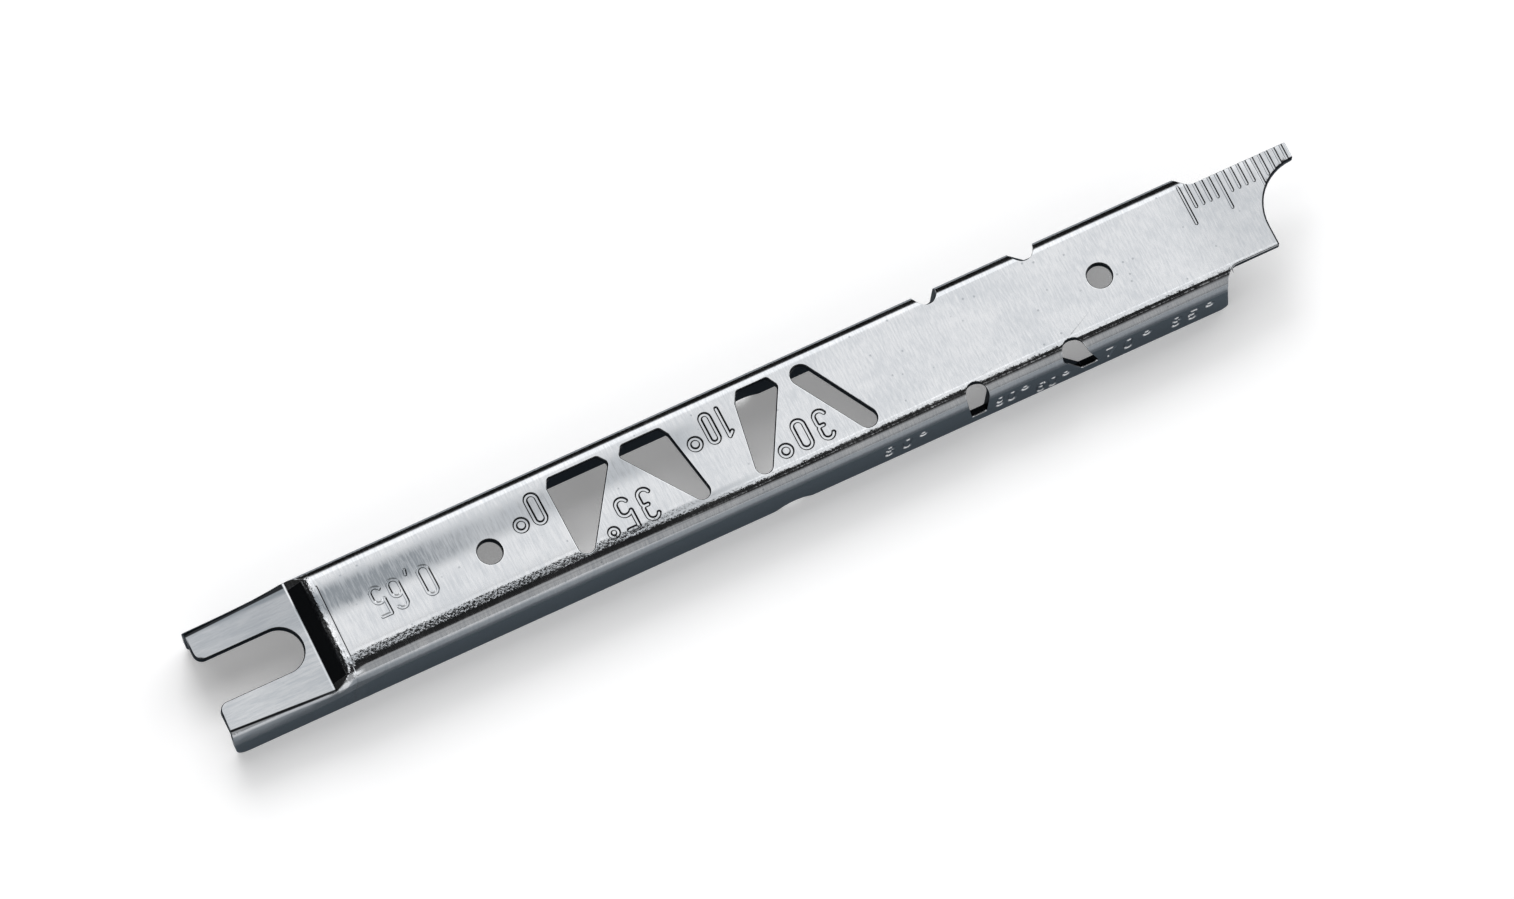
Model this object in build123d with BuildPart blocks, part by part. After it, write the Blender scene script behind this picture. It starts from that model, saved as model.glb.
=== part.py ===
"""Chainsaw filing gauge, punched and folded from one strip of sheet steel.

The gauge is a channel with a flat web and two low flanges. At one end the web steps down
into a forked plate, which straddles a depth gauge on the chain. At the other end the bare
web runs on as a hooked tongue. The web has tapered windows whose sides are filing angles,
and both long bends have openings whose sides are cutting angles.

Sizes are in millimetres. X runs along the gauge towards the hooked end, and Z is up, with
the web on top. The origin is under the middle of the gauge, level with the flanges' edges.
"""

from build123d import *
from dataclasses import dataclass
from math import atan2, cos, degrees, radians, sin, sqrt, tan
import os

# Sheet and channel
length = 152.8
width = 15.8
height = 8.7
sheet = 1.0
bend_inner_radius = 1.0

# Fork end. The plate's top lies below the web's underside by the depth setting. The step and
# the fork's end were pressed and cut slightly askew to the channel.
depth_setting = 0.65
fork_length = 14.4
fork_skew = 2.1
fork_slot_width = 6.1
fork_web_left = 1.0
prong_corner_radius = 1.2
prong_heel_radius = 2.0
prong_end_lean = 10.0
prong_end_top = 5.85
prong_corner_widths = (1.2, 1.0, 0.75)
prong_corner_heights = (3.15, 2.95, 2.4)
ramp_run = 2.4
ramp_top_radius = 2.6
ramp_foot_inner_radius = 1.2

# Hooked end. The flanges stop short of it, and the web runs on as a tongue.
tongue_length = 14.7
tongue_root_radius = 2.2
hook_radius = 6.65
hook_tip_width = 2.3
hook_corner_radius = 0.25
flange_end_angle = 85.0
flange_corner_radius = 1.1

# Round holes on the centre line, by their distance from the gauge's middle
hole_diameter = 3.2
hole_places = (-37.0, 47.7)

# Tapered windows, with their wide ends towards the back
window_back = 5.5
window_shoulder = 4.25
window_corner_radius = 0.5
window_tip_radius = 1.1

# Narrow window beside the last angle plate: the middles and radii of its two ends
narrow_window_back_end = (8.34, 4.21, 1.32)
narrow_window_front_end = (13.25, -4.3, 1.25)

# Openings through the bends
opening_web_reach = 0.1
opening_sill = 2.1
opening_corner_radius = 0.4

# Relief in the flanges' lower edges
relief_middle = 1.9
relief_radius = 3.4
relief_depth = 1.0
relief_run_out_radius = 1.5

# Soft upper edge that the punch leaves round each cut-out
punched_edge_radius = 0.2


@dataclass(frozen=True)
class Window:
    """A tapered window, by where its sides cross the centre line and how they lean from square."""

    left: float
    left_lean: float
    right: float
    right_lean: float
    left_chamfer: float
    right_chamfer: float
    back: float = window_back


@dataclass(frozen=True)
class Opening:
    """An opening in a bend, by its round end and how its two sides lean from upright."""

    middle: float
    radius: float
    left_lean: float
    right_lean: float


windows = (
    Window(-26.9, 0.0, -21.45, -35.0, 0.65, 0.95),
    Window(-13.9, 35.0, -9.3, 10.0, 0.9, 0.75),
    Window(-1.5, -10.0, 2.65, -30.0, 0.9, 0.8, window_back + 0.25),
)
openings = (
    Opening(27.05, 1.5, 10.0, 0.0),
    Opening(40.45, 1.6, 30.0, 20.0),
)

# Sizes that follow from those above
bend_outer_radius = bend_inner_radius + sheet
bend_flat_radius = bend_inner_radius + sheet / 2
bend_y = width / 2 - bend_outer_radius
bend_z = height - bend_outer_radius
fork_end_x = -length / 2
crease_x = fork_end_x + fork_length
askew = (tan(radians(fork_skew)), 1, 0)
skew_reach = width / 2 * askew[0]
fork_middle_x = fork_end_x + skew_reach
tip_x = length / 2
flange_end_x = tip_x - tongue_length
fork_drop = depth_setting + sheet
plate_z = height - fork_drop
prong_end_run = prong_end_top * tan(radians(prong_end_lean))
ramp_angle = degrees(atan2(fork_drop, ramp_run))
ramp_shift = sheet * tan(radians(ramp_angle / 2))
flange_end_lean = 90 - flange_end_angle
flange_end_slope = bend_z * tan(radians(flange_end_lean))
channel_end_x = flange_end_x + tongue_root_radius + flange_end_slope
overcut = bend_inner_radius / 2
past_end = channel_end_x + sheet
bend_steps = 8


def channel_section(x: float) -> Sketch:
    """Return an upright section of the channel's outer form, with both bends."""
    with BuildSketch(Plane.YZ.offset(x)) as section:
        with Locations((0, height / 2)):
            Rectangle(width, height)
        fillet(section.vertices().group_by(Axis.Y)[-1], bend_outer_radius)
    return section.sketch


def cut_down_section(x: float) -> Sketch:
    """Return the channel's section where the fork's plate cuts it off, below the bends' tops."""
    with BuildSketch(Plane.YZ.offset(x)) as section:
        with Locations((0, height / 2)):
            Rectangle(width, height)
        fillet(section.vertices().group_by(Axis.Y)[-1], bend_outer_radius)
        with Locations((0, plate_z / 2)):
            Rectangle(width, plate_z, mode=Mode.INTERSECT)
    return section.sketch


def prong_section(x: float, corner_width: float, corner_height: float) -> Sketch:
    """Return an upright section of the fork's outer form, with two tall elliptical corners."""
    corner_y = width / 2 - corner_width
    corner_z = plate_z - corner_height
    with BuildSketch(Plane.YZ.offset(x)) as section:
        with Locations((0, plate_z / 2)):
            Rectangle(2 * corner_y, plate_z)
        with Locations((0, corner_z / 2)):
            Rectangle(width, corner_z)
        with Locations((-corner_y, corner_z), (corner_y, corner_z)):
            Ellipse(corner_width, corner_height)
    return section.sketch


def side_form(points: list[tuple[float, float]], rounded: dict[int, float]) -> Sketch:
    """Return a side view outline, with the numbered corners rounded to their radii."""
    with BuildSketch(Plane.XZ) as outline:
        with BuildLine():
            Polyline(*points, close=True)
        make_face()
        for corner, radius in rounded.items():
            fillet(outline.vertices().sort_by_distance(points[corner])[0], radius)
    return outline.sketch


def bend_cutter(left_at, right_at) -> Part:
    """Return a cutter that follows the front bend, a section at each turn square to the sheet.

    The two functions give the cut's sides in the flat blank, by the distance past the bend line.
    """
    reach = sheet + 2 * overcut
    sections = []
    for step in range(bend_steps + 1):
        turn = radians(90) * step / bend_steps
        left = left_at(bend_flat_radius * turn)
        right = right_at(bend_flat_radius * turn)
        square = Plane((0, -bend_y, bend_z), x_dir=(1, 0, 0), z_dir=(0, -cos(turn), -sin(turn)))
        with BuildSketch(square) as section:
            with Locations(((left + right) / 2, bend_flat_radius)):
                Rectangle(right - left, reach)
        sections.append(section.sketch)
    with BuildPart() as cutter:
        loft(sections)
    return cutter.part


def opening_cutter(opening: Opening) -> Part:
    """Return the cutter for one opening in the front bend and flange, folded as the blank is."""
    round_middle = opening.radius - opening_web_reach
    bend_run = bend_flat_radius * radians(90)
    reach = sheet + 2 * overcut

    def side_at(side: int, lean: float, run: float) -> float:
        """Return where one side is, on the round end or on the leaning line that touches it."""
        touch = round_middle - side * opening.radius * sin(radians(lean))
        if run < touch:
            return opening.middle + side * sqrt(opening.radius**2 - (run - round_middle) ** 2)
        line_start = opening.middle + side * opening.radius / cos(radians(lean))
        return line_start + (run - round_middle) * tan(radians(lean))

    def left_at(run: float) -> float:
        return side_at(-1, opening.left_lean, run)

    def right_at(run: float) -> float:
        return side_at(1, opening.right_lean, run)

    lower_run = bend_run + bend_z - opening_sill
    with BuildPart() as cutter:
        add(bend_cutter(left_at, right_at))
        # The top of the round end, in the flat web
        with BuildSketch(Plane.XY.offset(height - sheet - overcut)):
            with Locations((opening.middle, -bend_y - round_middle)):
                Circle(opening.radius)
            with Locations((opening.middle, 0)):
                Rectangle(4 * opening.radius, 2 * bend_y, mode=Mode.INTERSECT)
        extrude(amount=reach)
        # The angled sides, in the flat flange
        with BuildSketch(Plane.XZ.offset(bend_y + overcut)) as flange_cut:
            with BuildLine():
                Polyline(
                    (left_at(bend_run), bend_z),
                    (left_at(lower_run), opening_sill),
                    (right_at(lower_run), opening_sill),
                    (right_at(bend_run), bend_z),
                    close=True,
                )
            make_face()
            fillet(flange_cut.vertices().group_by(Axis.Y)[0], opening_corner_radius)
        extrude(amount=reach)
    return cutter.part


def flange_end_cutter() -> Part:
    """Return the cutter that ends the front flange, with a round root into the tongue's edge."""

    def left_at(run: float) -> float:
        rise = max(tongue_root_radius - run, 0)
        return flange_end_x + tongue_root_radius - sqrt(tongue_root_radius**2 - rise**2)

    def right_at(run: float) -> float:
        return past_end

    with BuildPart() as cutter:
        add(bend_cutter(left_at, right_at))
        with BuildSketch(Plane.XZ.offset(bend_y + overcut)):
            with BuildLine():
                Polyline(
                    (flange_end_x, bend_z),
                    (flange_end_x + flange_end_slope, 0),
                    (flange_end_x + flange_end_slope, -sheet),
                    (past_end, -sheet),
                    (past_end, bend_z),
                    close=True,
                )
            make_face()
        extrude(amount=sheet + 2 * overcut)
    return cutter.part


# Outer form of the folded sheet: the channel with its ramp, and the lower fork before it
with BuildPart() as outer_form:
    outer_points = [
        (crease_x, 0),
        (crease_x, plate_z),
        (crease_x + ramp_run, height),
        (channel_end_x, height),
        (channel_end_x, 0),
    ]
    extrude(side_form(outer_points, {2: ramp_top_radius}), amount=width, dir=askew, both=True)
    prongs_end_x = crease_x - skew_reach
    channel_run = channel_end_x - prongs_end_x
    extrude(channel_section(prongs_end_x), amount=channel_run, mode=Mode.INTERSECT)
    corners = list(zip(prong_corner_widths, prong_corner_heights))
    station_run = (prongs_end_x - fork_end_x) / len(corners)
    fork_sections = []
    for place, (corner_width, corner_height) in enumerate(corners):
        station_x = fork_end_x + station_run * place
        fork_sections.append(prong_section(station_x, corner_width, corner_height))
    fork_sections.append(cut_down_section(prongs_end_x))
    loft(fork_sections)
    extrude(cut_down_section(prongs_end_x), amount=2 * skew_reach)

# Inner form: what the sheet is folded round, one sheet inside the outer form
with BuildPart() as inner_form:
    inner_points = [
        (fork_end_x - sheet, -sheet),
        (fork_end_x - sheet, plate_z - sheet),
        (crease_x + ramp_shift, plate_z - sheet),
        (crease_x + ramp_run + ramp_shift, height - sheet),
        (past_end, height - sheet),
        (past_end, -sheet),
    ]
    inner_rounds = {2: ramp_foot_inner_radius, 3: ramp_top_radius - sheet}
    extrude(side_form(inner_points, inner_rounds), amount=width, dir=askew, both=True)
    with BuildSketch(Plane.YZ.offset(fork_end_x - sheet)) as inner_section:
        with Locations((0, (height - 2 * sheet) / 2)):
            Rectangle(width - 2 * sheet, height)
        fillet(inner_section.vertices().group_by(Axis.Y)[-1], bend_inner_radius)
    extrude(amount=past_end - fork_end_x + sheet, mode=Mode.INTERSECT)

with BuildPart() as gauge_body:
    add(outer_form.part)
    add(inner_form.part, mode=Mode.SUBTRACT)

    # Flange ends and openings, the same on both sides
    for cutter in [flange_end_cutter(), *[opening_cutter(opening) for opening in openings]]:
        add(cutter, mode=Mode.SUBTRACT)
        add(cutter.mirror(Plane.XZ), mode=Mode.SUBTRACT)

    # Tongue, with the hook's hollow and its tip towards the back
    hollow_y = bend_y - hook_tip_width - hook_radius
    with BuildSketch(Plane.XY.offset(height - sheet)) as tongue:
        with BuildLine():
            Polyline(
                (tip_x, bend_y - hook_tip_width),
                (tip_x, bend_y),
                (flange_end_x, bend_y),
                (flange_end_x, -bend_y),
                (tip_x - hook_radius, -bend_y),
                (tip_x - hook_radius, hollow_y),
            )
            CenterArc((tip_x, hollow_y), hook_radius, 90, 90)
        make_face()
        fillet(tongue.vertices().group_by(Axis.X)[-1], hook_corner_radius)
        fillet(tongue.vertices().group_by(Axis.Y)[0].sort_by(Axis.X)[-1], hook_corner_radius)
    extrude(amount=sheet)

    # Lower corners of the flanges at the hooked end
    low_edges = gauge_body.edges().filter_by(Axis.Y).group_by(Axis.Z)[0].group_by(Axis.X)
    fillet(low_edges[-1], flange_corner_radius)

    # End of the fork: askew in plan, with both flanges leaning back to a round heel
    fork_end_points = [
        (fork_end_x - sheet, height),
        (fork_middle_x, height),
        (fork_middle_x, prong_end_top),
        (fork_middle_x + prong_end_run, 0),
        (fork_middle_x + prong_end_run + 2 * prong_heel_radius, 0),
        (fork_middle_x + prong_end_run + 2 * prong_heel_radius, -sheet),
        (fork_end_x - sheet, -sheet),
    ]
    fork_end_form = side_form(fork_end_points, {3: prong_heel_radius})
    extrude(fork_end_form, amount=width, dir=askew, both=True, mode=Mode.SUBTRACT)

    # Relief in the flanges' lower edges
    with BuildSketch(Plane.XZ) as relief:
        with Locations((relief_middle, -relief_depth)):
            Rectangle(4 * relief_radius, 2 * relief_depth)
        with Locations((relief_middle, relief_depth - relief_radius)):
            Circle(relief_radius)
        with Locations((relief_middle, -relief_depth)):
            Rectangle(4 * relief_radius, 4 * relief_depth, mode=Mode.INTERSECT)
        run_outs = relief.vertices().filter_by_position(Axis.Y, -0.01, 0.01)
        fillet(run_outs.sort_by(Axis.X)[1:-1], relief_run_out_radius)
    extrude(amount=width, both=True, mode=Mode.SUBTRACT)

    # Slot between the fork's prongs
    slot_end_x = crease_x - fork_web_left
    slot_round_x = slot_end_x - fork_slot_width / 2
    with BuildSketch(Plane.XY.offset(height)):
        with Locations(((fork_end_x - sheet + slot_round_x) / 2, 0)):
            Rectangle(slot_round_x - fork_end_x + sheet, fork_slot_width)
        with Locations((slot_round_x, 0)):
            Circle(fork_slot_width / 2)
    extrude(amount=-fork_drop - 2 * sheet, mode=Mode.SUBTRACT)
    prong_corners = gauge_body.edges().filter_by(Axis.Z)
    prong_corners = prong_corners.filter_by_position(Axis.X, fork_end_x, fork_end_x + sheet)
    prong_corners = prong_corners.filter_by_position(Axis.Y, -fork_slot_width, fork_slot_width)
    fillet(prong_corners, prong_corner_radius)

    # Round holes, tapered windows and the narrow window
    for hole_x in hole_places:
        with BuildSketch(Plane.XY.offset(height)):
            with Locations((hole_x, 0)):
                Circle(hole_diameter / 2)
        extrude(amount=-2 * sheet, mode=Mode.SUBTRACT)
    for window in windows:
        left_slope = tan(radians(window.left_lean))
        right_slope = tan(radians(window.right_lean))
        tip_y = (window.right - window.left) / (right_slope - left_slope)
        left_shoulder = window.left - window_shoulder * left_slope
        right_shoulder = window.right - window_shoulder * right_slope
        with BuildSketch(Plane.XY.offset(height)) as opening_form:
            with BuildLine():
                Polyline(
                    (window.left - tip_y * left_slope, tip_y),
                    (right_shoulder, window_shoulder),
                    (right_shoulder - window.right_chamfer, window.back),
                    (left_shoulder + window.left_chamfer, window.back),
                    (left_shoulder, window_shoulder),
                    close=True,
                )
            make_face()
            fillet(opening_form.vertices().sort_by(Axis.Y)[1:], window_corner_radius)
            fillet(opening_form.vertices().sort_by(Axis.Y)[0], window_tip_radius)
        extrude(amount=-2 * sheet, mode=Mode.SUBTRACT)
    with BuildSketch(Plane.XY.offset(height)) as narrow_window:
        for end_x, end_y, end_radius in (narrow_window_back_end, narrow_window_front_end):
            with Locations((end_x, end_y)):
                Circle(end_radius)
        make_hull()
    extrude(amount=-2 * sheet, mode=Mode.SUBTRACT)

    # Soft upper edges round the holes and windows
    web_face = gauge_body.faces().filter_by(Axis.Z).sort_by(Axis.Z)[-1]
    fillet(web_face.inner_wires().edges(), punched_edge_radius)

gauge_body.part.label = "gauge_body"
os.makedirs("parts", exist_ok=True)
export_step(gauge_body.part, "parts/gauge_body.step")
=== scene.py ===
"""Looks of the chainsaw filing gauge: stamped figures, rule, broken edges, finish and studio.

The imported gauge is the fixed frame. Its body is a copy of the frame's own mesh, so it stays
where the frame is, with the stamped lines cut into it. The sizes of the body are millimetres,
as on a maker's drawing, and are turned into metres where a mesh is built. The places that the
finish goes by are metres, as its nodes read them.
"""

import logging
import math
from dataclasses import dataclass, field
from enum import Enum
from functools import partial, reduce

import bmesh
import bpy
from mathutils import Matrix, Vector


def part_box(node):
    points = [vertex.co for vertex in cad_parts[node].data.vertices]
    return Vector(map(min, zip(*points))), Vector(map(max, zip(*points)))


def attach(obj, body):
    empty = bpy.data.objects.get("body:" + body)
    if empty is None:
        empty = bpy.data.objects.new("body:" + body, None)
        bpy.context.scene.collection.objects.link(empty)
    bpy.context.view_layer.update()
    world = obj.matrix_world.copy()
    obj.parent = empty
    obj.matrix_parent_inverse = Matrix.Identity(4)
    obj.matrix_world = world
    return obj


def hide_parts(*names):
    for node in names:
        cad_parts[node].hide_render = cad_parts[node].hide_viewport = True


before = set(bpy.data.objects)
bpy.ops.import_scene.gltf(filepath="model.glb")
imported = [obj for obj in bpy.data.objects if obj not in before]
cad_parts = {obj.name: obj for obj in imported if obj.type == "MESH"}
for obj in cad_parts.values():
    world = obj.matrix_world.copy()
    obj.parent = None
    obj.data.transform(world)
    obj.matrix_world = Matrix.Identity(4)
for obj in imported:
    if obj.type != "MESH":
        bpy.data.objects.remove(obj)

log = logging.getLogger("filing_gauge")

MM = 0.001
WHITE = (1.0, 1.0, 1.0, 1.0)

# The grid size that gives a square one metre wide
UNIT_SQUARE = 0.5

# The frame's axes, by their places in a vector
X, Y, Z = range(3)

Colour = tuple[float, float, float, float]
Socket = bpy.types.NodeSocket
Value = bpy.types.NodeSocket | float
Section = list[bmesh.types.BMVert | bmesh.types.BMEdge]


class StampedFace(Enum):
    """A flat face that lines are stamped in, by its reading, upright and outward directions."""

    WEB = ((-1, 0, 0), (0, -1, 0), (0, 0, 1))
    FRONT_FLANGE = ((1, 0, 0), (0, 0, 1), (0, -1, 0))

    def placed(self, outside: float) -> Matrix:
        """Find the turn and shift that lay a flat drawing on this face.

        Args:
            outside: How far out the face lies from the frame's origin, in metres.

        Returns:
            The matrix from the drawing's x, y and outward z to the frame.
        """
        reading, upright, outward = (Vector(axis) for axis in self.value)
        turn = Matrix((reading, upright, outward)).transposed().to_4x4()
        return Matrix.Translation(outward * outside) @ turn


class Figure(Enum):
    """The figures and signs that the gauge carries."""

    ZERO = "0"
    ONE = "1"
    THREE = "3"
    FIVE = "5"
    SIX = "6"
    SEVEN = "7"
    EIGHT = "8"
    NINE = "9"
    COMMA = ","
    DEGREE = "°"


@dataclass(frozen=True)
class Straight:
    """A straight leg of a stamped line."""

    length: float


@dataclass(frozen=True)
class Arc:
    """A round leg of a stamped line. A positive turn, in degrees, goes to the left."""

    radius: float
    turn: float


@dataclass(frozen=True)
class Stroke:
    """One stamped line: where it starts, the way it heads in degrees, and its legs."""

    x: float
    y: float
    heading: float
    legs: tuple[Straight | Arc, ...]
    closed: bool = False


@dataclass(frozen=True)
class Groove:
    """Cross-section of a stamped line: a flat floor, steep walls and soft shoulders outside them."""

    width: float
    floor: float
    depth: float
    shoulder: float = 0.06
    shoulder_slope: float = 0.5
    above: float = 0.01

    def half(self) -> list[tuple[float, float]]:
        """Find the left half, from the middle above the face round to the middle of the floor.

        Returns:
            Its points, by how far they lie across and up, in millimetres.
        """
        rim = self.width / 2
        return [
            (0.0, self.above),
            (rim + self.shoulder + self.above / self.shoulder_slope, self.above),
            (rim, -self.shoulder * self.shoulder_slope),
            (self.floor / 2, -self.depth),
            (0.0, -self.depth),
        ]


@dataclass
class LineCutter:
    """Cuts stamped lines into one face of a body.

    The face lies outside the frame's origin by some metres. One step of an arc covers arc_step
    degrees at most. Points nearer than weld, in millimetres, are merged to close a line up.
    """

    body: bpy.types.Object
    face: StampedFace
    outside: float
    arc_step: float = 15.0
    least_steps: int = 3
    end_steps: int = 8
    weld: float = 0.0002
    mesh: bmesh.types.BMesh = field(default_factory=bmesh.new)
    count: int = 0

    def section(self, x: float, y: float, heading: float, groove: Groove, whole: bool) -> Section:
        """Place a cross-section square to a heading.

        Args:
            x: Where the section stands along the drawing, in millimetres.
            y: Where it stands up the drawing.
            heading: The way the line heads there, in degrees.
            groove: The cross-section's sizes.
            whole: Whether both halves are placed, as one closed ring.

        Returns:
            The new vertices and edges.
        """
        way = math.radians(heading)
        left = Vector((-math.sin(way), math.cos(way), 0.0))
        middle = Vector((x, y, 0.0))
        profile = groove.half()
        points = [middle + left * across + Vector((0, 0, up)) for across, up in profile]
        if whole:
            points += [middle - left * across + Vector((0, 0, up)) for across, up in profile[-2:0:-1]]
        verts = [self.mesh.verts.new(point * MM) for point in points]
        pairs = list(zip(verts, verts[1:]))
        if whole:
            pairs.append((verts[-1], verts[0]))
        return verts + [self.mesh.edges.new(pair) for pair in pairs]

    def pushed(self, section: Section, step: Vector) -> Section:
        """Push a section on along a straight leg.

        Args:
            section: The section's vertices and edges.
            step: How far it goes along and up the drawing, in millimetres.

        Returns:
            The vertices and edges at the leg's end.
        """
        edges = [item for item in section if isinstance(item, bmesh.types.BMEdge)]
        swept = bmesh.ops.extrude_edge_only(self.mesh, edges=edges)
        last = [item for item in swept["geom"] if not isinstance(item, bmesh.types.BMFace)]
        moved = [item for item in last if isinstance(item, bmesh.types.BMVert)]
        bmesh.ops.translate(self.mesh, verts=moved, vec=step * MM)
        return last

    def turned(self, section: Section, x: float, y: float, turn: float, steps: int) -> Section:
        """Sweep a section round an upright axis.

        Args:
            section: The section's vertices and edges.
            x: The axis's place along the drawing, in millimetres.
            y: Its place up the drawing.
            turn: The angle swept, in degrees, to the left if positive.
            steps: How many steps the sweep takes.

        Returns:
            The vertices and edges at the sweep's end.
        """
        swept = bmesh.ops.spin(
            self.mesh,
            geom=section,
            cent=Vector((x, y, 0)) * MM,
            axis=(0, 0, 1),
            angle=math.radians(turn),
            steps=steps,
        )
        return swept["geom_last"]

    def end(self, x: float, y: float, heading: float, groove: Groove, side: int) -> None:
        """Round off one end of a line by turning half of its section about the end's middle."""
        section = self.section(x, y, heading, groove, whole=False)
        self.turned(section, x, y, 180.0 * side, self.end_steps)

    def cut(self, stroke: Stroke, groove: Groove, x: float = 0.0, y: float = 0.0) -> None:
        """Sweep a groove's section along a stroke, and take it out of the body.

        Args:
            stroke: The line to follow.
            groove: The cross-section to sweep.
            x: How far along the drawing the stroke's own origin is moved, in millimetres.
            y: How far up the drawing it is moved.
        """
        self.mesh = bmesh.new()
        at_x, at_y, heading = x + stroke.x, y + stroke.y, stroke.heading
        section = self.section(at_x, at_y, heading, groove, whole=True)
        if not stroke.closed:
            self.end(at_x, at_y, heading, groove, side=1)
        for leg in stroke.legs:
            way = math.radians(heading)
            if isinstance(leg, Straight):
                step = Vector((math.cos(way), math.sin(way), 0)) * leg.length
                section = self.pushed(section, step)
                at_x, at_y = at_x + step.x, at_y + step.y
            else:
                side = math.copysign(1.0, leg.turn)
                centre_x = at_x - side * leg.radius * math.sin(way)
                centre_y = at_y + side * leg.radius * math.cos(way)
                steps = max(self.least_steps, round(abs(leg.turn) / self.arc_step))
                section = self.turned(section, centre_x, centre_y, leg.turn, steps)
                heading += leg.turn
                way = math.radians(heading)
                at_x = centre_x + side * leg.radius * math.sin(way)
                at_y = centre_y - side * leg.radius * math.cos(way)
        if not stroke.closed:
            self.end(at_x, at_y, heading, groove, side=-1)
        self.take_out()

    def take_out(self) -> None:
        """Close the swept line up, lay it on its face and take it out of the body."""
        bmesh.ops.remove_doubles(self.mesh, verts=self.mesh.verts, dist=self.weld * MM)
        bmesh.ops.recalc_face_normals(self.mesh, faces=self.mesh.faces)
        self.mesh.transform(self.face.placed(self.outside))
        if any(not edge.is_manifold for edge in self.mesh.edges):
            log.warning("line %d is open", self.count)
        self.count += 1
        line = as_object(self.mesh, "line")
        modifier = self.body.modifiers.new("line", "BOOLEAN")
        modifier.operation = "DIFFERENCE"
        modifier.solver = "MANIFOLD"
        modifier.object = line
        bpy.context.view_layer.update()
        evaluated = self.body.evaluated_get(bpy.context.evaluated_depsgraph_get())
        uncut = self.body.data
        self.body.data = bpy.data.meshes.new_from_object(evaluated)
        self.body.modifiers.remove(modifier)
        bpy.data.meshes.remove(uncut)
        bpy.data.meshes.remove(line.data)


def as_object(mesh: bmesh.types.BMesh, name: str) -> bpy.types.Object:
    """Write a bmesh into a new object in the scene, and free it.

    Args:
        mesh: The bmesh to write.
        name: The name of the object and its mesh.

    Returns:
        The new object.
    """
    data = bpy.data.meshes.new(name)
    mesh.to_mesh(data)
    mesh.free()
    made = bpy.data.objects.new(name, data)
    bpy.context.scene.collection.objects.link(made)
    return made


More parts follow.
